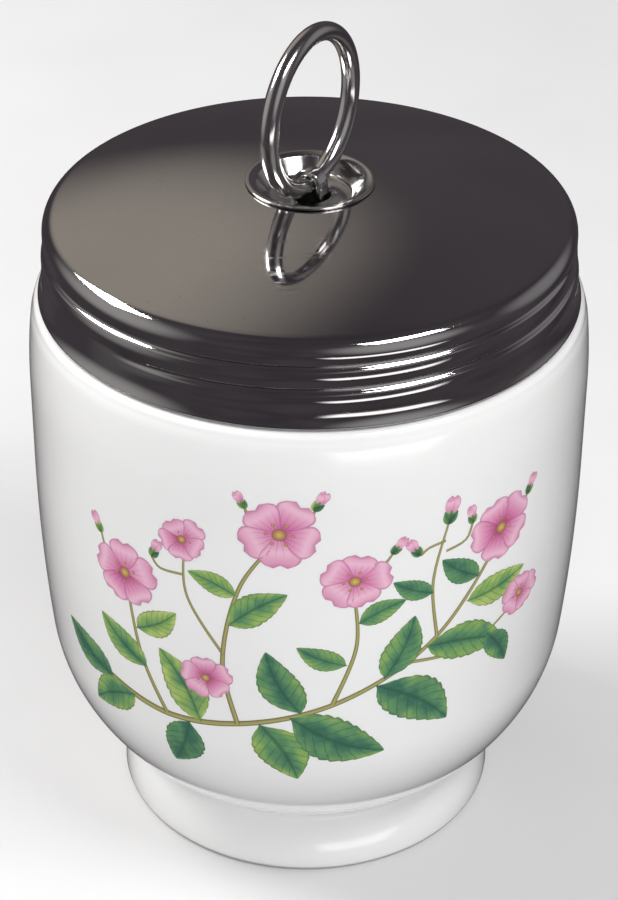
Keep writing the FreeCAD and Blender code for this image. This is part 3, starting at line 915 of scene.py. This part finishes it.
def leaf_ink(recipe, along, across, tone):
    """Blue-green by the midrib to yellow-green at the edge, with dark veins and outline."""
    side = from_middle(recipe, across)
    blotch = recipe.noise(recipe.place(), 420.0, detail=4.0)
    shift = recipe.math(
        "ADD", recipe.math("MULTIPLY", side, 0.45), recipe.math("MULTIPLY", tone, 0.45))
    shift = recipe.math("ADD", shift, about_half(recipe, blotch, 0.9))
    green = recipe.ramp(
        shift,
        (0.05, (0.045, 0.150, 0.100)), (0.35, (0.110, 0.270, 0.120)),
        (0.65, (0.260, 0.420, 0.110)), (0.95, (0.520, 0.600, 0.200)))
    return recipe.mix(leaf_dark(recipe, along, side), green, (0.030, 0.095, 0.050))


def stem_ink(recipe, _along, across, _tone):
    """Olive-brown with a lighter middle."""
    light = recipe.ramp(across, (0.0, 0.0), (0.35, 1.0), (0.6, 0.8), (1.0, 0.0))
    return recipe.mix(light, (0.130, 0.110, 0.040), (0.400, 0.380, 0.140))


def petal_ink(recipe, along, across, tone):
    """Deep mauve-pink at the eye, pale towards the end, with fine darker lines."""
    body = recipe.ramp(
        recipe.math("ADD", along, about_half(recipe, tone, 0.35)),
        (0.0, (0.420, 0.060, 0.200)), (0.3, (0.650, 0.220, 0.400)),
        (0.7, (0.790, 0.470, 0.600)), (1.0, (0.700, 0.330, 0.480)))
    stripes = recipe.math("FRACT", recipe.math("MULTIPLY", across, 5.0))
    thin = recipe.ramp(stripes, (0.0, 1.0), (0.16, 0.0), (0.88, 0.0), (1.0, 1.0))
    near_eye = recipe.math("SUBTRACT", 0.75, along, clamp=True)
    lined = recipe.mix(recipe.math("MULTIPLY", thin, near_eye), body, (0.330, 0.040, 0.160))
    rim = recipe.math(
        "MAXIMUM", from_middle(recipe, across), recipe.math("MULTIPLY", along, 0.96))
    edge = recipe.ramp(rim, (0.84, 0.0), (1.0, 0.75))
    return recipe.mix(edge, lined, (0.420, 0.110, 0.260))


def eye_ink(recipe, along, _across, _tone):
    """Ochre in the middle, brown-red round it."""
    return recipe.mix(along, (0.620, 0.480, 0.120), (0.300, 0.100, 0.090))


def scratches(recipe, place):
    """Strength of two crossing sets of fine scratches."""
    marks = []
    for turn, scale in ((0.4, 81.0), (1.9, 63.0)):
        inputs = {"Vector": place, "Rotation": (0, 0, turn), "Scale": (1.0, 36.0, 8.0)}
        drawn_out = recipe.add("ShaderNodeMapping", inputs).outputs["Vector"]
        fine = recipe.noise(drawn_out, scale, detail=6.0, roughness=0.7)
        marks.append(recipe.ramp(fine, (0.60, 0.0), (0.72, 1.0)))
    return recipe.math("MAXIMUM", *marks)


def specks(recipe, place, strength):
    """Strength of small scattered spots."""
    cells = recipe.add("ShaderNodeTexVoronoi", {"Vector": place, "Scale": 420.0})
    spot = recipe.ramp(cells.outputs["Distance"], (0.0, 1.0), (0.10, 0.0))
    return recipe.math("MULTIPLY", spot, strength)


def steel_material(name, colour, rough, scratch, speck):
    """Polished steel with fine crossed scratches and a few specks."""
    material, recipe = new_material(name)
    place = recipe.place()
    cloud = recipe.noise(place, 55.0, detail=5.0)
    dull = tuple(part * 0.94 for part in colour)
    tint = recipe.ramp(cloud, (0.35, dull), (0.65, colour))
    lines = scratches(recipe, place)
    spots = specks(recipe, place, speck)
    wear = recipe.math(
        "ADD", recipe.math("MULTIPLY", lines, scratch),
        recipe.math("MULTIPLY", cloud, rough * 0.6))
    wear = recipe.math("ADD", wear, rough * 0.7)
    wear = recipe.math("ADD", wear, recipe.math("MULTIPLY", spots, 0.2))
    recipe.shade({
        "Metallic": 1.0,
        "Base Color": recipe.mix(spots, tint, (0.30, 0.28, 0.27)),
        "Roughness": wear,
        "Normal": recipe.bump(lines, 0.10, 0.02 * MM),
    })
    return material


# Soft lighter painted reflection patches: direction, cosines where each starts and is full,
# colour
PAINTED_REFLECTION_PATCHES = [
    ((-0.34, 0.69, 0.64), 0.865, 0.998, (0.40, 0.365, 0.320)),
    ((-0.96, -0.05, 0.25), 0.72, 1.00, (0.42, 0.41, 0.40)),
    ((0.55, -0.72, 0.42), 0.84, 1.00, (0.40, 0.39, 0.39)),
    ((0.90, 0.35, 0.25), 0.86, 1.00, (0.26, 0.25, 0.26)),
]


def painted_reflection_patch(recipe, direction, aim, outer, inner):
    """Strength of a soft round painted reflection patch about an aim."""
    facing = recipe.vector_math("DOT_PRODUCT", direction, aim).outputs["Value"]
    return recipe.between(facing, outer, inner, smooth=True)


def painted_highlight_strip(recipe, direction):
    """Strength of a painted highlight strip low in front right, that shows on the lid's ridges.
    """
    height = recipe.between(recipe.split(direction)["Z"], -0.39, -0.14)
    level = recipe.ramp(height, (0.10, 0.0), (0.28, 1.0), (0.72, 1.0), (0.90, 0.0))
    spread = painted_reflection_patch(recipe, direction, (0.50, -0.866, 0.0), 0.86, 0.92)
    return recipe.math("MULTIPLY", level, spread)


def painted_reflection_material():
    """Painted reflections: dim glowing surround with soft lighter patches, seen only in gloss."""
    material, recipe = new_material("painted_reflections")
    recipe.nodes.remove(recipe.nodes["Principled BSDF"])
    direction = recipe.vector_math("NORMALIZE", recipe.place()).outputs["Vector"]
    cloud = recipe.noise(direction, 1.6)
    # painted dark reflection: a dim glowing surround for the metal to show
    colour = recipe.ramp(cloud, (0.3, (0.048, 0.042, 0.049)), (0.7, (0.084, 0.075, 0.081)))
    for aim, outer, inner, glow in PAINTED_REFLECTION_PATCHES:
        patch = painted_reflection_patch(recipe, direction, tuple(Vector(aim).normalized()), outer, inner)
        colour = recipe.mix(patch, colour, glow)
    # painted highlight: a bright glowing strip that the lid's ridges and the glaze show
    colour = recipe.mix(painted_highlight_strip(recipe, direction), colour, (1.9, 1.87, 1.85))
    light = recipe.add("ShaderNodeEmission", {"Color": colour})
    recipe.feed(recipe.nodes["Material Output"].inputs["Surface"], light.outputs[0])
    return material


def floor_material():
    """Pale paper that fades into the backdrop far from the object, for the camera alone."""
    material, recipe = new_material("floor_paper")
    place = recipe.place()
    grain = recipe.noise(place, 30.0)
    recipe.shade({
        "Base Color": recipe.ramp(
            grain, (0.3, (0.635, 0.632, 0.637)), (0.7, (0.655, 0.652, 0.657))),
        "Roughness": 0.9,
    })
    away = recipe.vector_math("LENGTH", place).outputs["Value"]
    far = recipe.between(away, 0.35, 1.1, smooth=True)
    seen = recipe.add("ShaderNodeLightPath").outputs["Is Camera Ray"]
    haze = recipe.add("ShaderNodeEmission", {"Color": opaque(BACKDROP)})
    faded = recipe.blend(
        recipe.math("MULTIPLY", far, seen), recipe.nodes["Principled BSDF"], haze)
    recipe.feed(recipe.nodes["Material Output"].inputs["Surface"], faded)
    return material


def make_floor():
    """Pale floor that the object's gloss doesn't see."""
    deselect()
    bpy.ops.mesh.primitive_plane_add(size=FLOOR_SIZE, location=(0, 0, 0))
    floor = bpy.context.object
    floor.name = "floor"
    floor.data.materials.append(floor_material())
    floor.visible_glossy = False


def make_painted_reflections():
    """Dim glowing sphere of painted reflections that only the object's gloss sees."""
    deselect()
    bpy.ops.mesh.primitive_uv_sphere_add(segments=64, ring_count=32, radius=ROOM_R)
    room = bpy.context.object
    # painted reflections: a glowing sphere seen only in the object's gloss
    room.name = "painted_reflection_sphere"
    bpy.ops.object.shade_smooth()
    room.data.materials.append(painted_reflection_material())
    room.visible_camera = False
    room.visible_diffuse = False
    room.visible_shadow = False
    room.visible_transmission = False


def make_world():
    """Soft fill from all round, shown as the plain backdrop where it is looked at."""
    world = bpy.data.worlds.new("studio")
    bpy.context.scene.world = world
    world.use_nodes = True
    recipe = Recipe(world.node_tree)
    fill = recipe.nodes["Background"]
    fill.inputs["Color"].default_value = (0.80, 0.81, 0.83, 1.0)
    fill.inputs["Strength"].default_value = 0.55
    shown = recipe.add("ShaderNodeBackground", {"Color": opaque(BACKDROP)})
    rays = recipe.add("ShaderNodeLightPath").outputs
    seen = recipe.math("MAXIMUM", rays["Is Camera Ray"], rays["Is Glossy Ray"])
    seen = recipe.math("MAXIMUM", seen, rays["Is Transmission Ray"])
    recipe.feed(recipe.nodes["World Output"].inputs["Surface"], recipe.blend(seen, fill, shown))


# Lamps: place and aim in metres, width, height, power, colour, and whether gloss shows them
LAMPS = {
    "lamp_left": ((-0.50, 0.15, 0.53), (0, 0, 0.05), 0.34, 0.24, 4.0, (1.0, 0.985, 0.96), True),
    "lamp_right": ((0.30, -0.24, 0.62), (0, 0, 0.06), 0.30, 0.14, 2.2, (1.0, 0.99, 0.98), True),
    "lamp_back": ((-0.42, 0.52, 0.48), (0, 0, 0.08), 0.30, 0.22, 0.6, (1.0, 0.95, 0.88), False),
    "lamp_front": ((0.10, -0.80, 0.50), (0, 0, 0.04), 0.50, 0.40, 2.5, (0.98, 0.99, 1.0), False),
}


def make_lamps():
    """Two lamps that show in the gloss, and two that only fill."""
    for name, (where, aim, wide, tall, power, colour, in_gloss) in LAMPS.items():
        lamp = bpy.data.lights.new(name, "AREA")
        lamp.shape = "RECTANGLE"
        lamp.size = wide
        lamp.size_y = tall
        lamp.energy = power
        lamp.color = colour
        holder = bpy.data.objects.new(name, lamp)
        bpy.context.scene.collection.objects.link(holder)
        holder.location = where
        holder.rotation_euler = (Vector(aim) - Vector(where)).to_track_quat("-Z", "Y").to_euler()
        holder.visible_glossy = in_gloss


# Camera fitted to the photo: place and aim in metres, long lens in millimetres, small roll
CAMERA_PLACE = (0.000106, -0.29198, 0.24256)
CAMERA_AIM = (0.000106, 0.0, 0.05179)
CAMERA_ROLL = math.radians(0.455)
CAMERA_LENS = 104.0
CAMERA_SENSOR = 36.0


def make_camera():
    """Camera that looks down on the front of the cup."""
    camera = bpy.data.cameras.new("camera")
    camera.sensor_fit = "VERTICAL"
    camera.sensor_height = CAMERA_SENSOR
    camera.lens = CAMERA_LENS
    camera.clip_start = 0.01
    holder = bpy.data.objects.new("camera", camera)
    bpy.context.scene.collection.objects.link(holder)
    sight = Vector(CAMERA_AIM) - Vector(CAMERA_PLACE)
    look = sight.to_track_quat("-Z", "Y").to_matrix().to_4x4()
    roll = Matrix.Rotation(CAMERA_ROLL, 4, "Z")
    holder.matrix_world = Matrix.Translation(CAMERA_PLACE) @ look @ roll
    bpy.context.scene.camera = holder


def dress(piece, materials, body, node=None):
    """Give a piece its materials and tie it to its CAD body and node."""
    for material in materials:
        piece.data.materials.append(material)
    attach(piece, body)
    if node:
        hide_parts(node)
        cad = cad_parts[node]
        cad.data.materials.clear()
        cad.data.materials.append(materials[0])


PORCELAIN = porcelain_material()
# Steels: colour, roughness, strength of the scratches and of the specks
LID_STEEL = steel_material("polished_steel", (0.60, 0.585, 0.590), 0.055, 0.05, 0.35)
PLATE_STEEL = steel_material("plate_steel", (0.64, 0.630, 0.625), 0.12, 0.05, 0.2)
EYE_STEEL = steel_material("eye_steel", (0.62, 0.610, 0.605), 0.16, 0.05, 0.15)
RING_STEEL = steel_material("ring_steel", (0.68, 0.665, 0.665), 0.15, 0.04, 0.15)
INKS = [
    ink_material("stem_ink", stem_ink),
    ink_material("leaf_ink", leaf_ink),
    ink_material("petal_ink", petal_ink),
    ink_material("eye_ink", eye_ink),
]

dress(make_cup(), [PORCELAIN], "cup", "cup")
dress(make_print(), INKS, "cup")
dress(make_lid(), [LID_STEEL], "lid", "lid_shell")
dress(make_escutcheon(), [PLATE_STEEL], "lid_centre", "escutcheon")
dress(make_eye(), [EYE_STEEL], "lid", "ring_eye")
dress(make_ring(), [RING_STEEL], "ring", "lift_ring")

make_floor()
make_painted_reflections()
make_world()
make_lamps()
make_camera()
bpy.context.scene.view_settings.view_transform = "Standard"
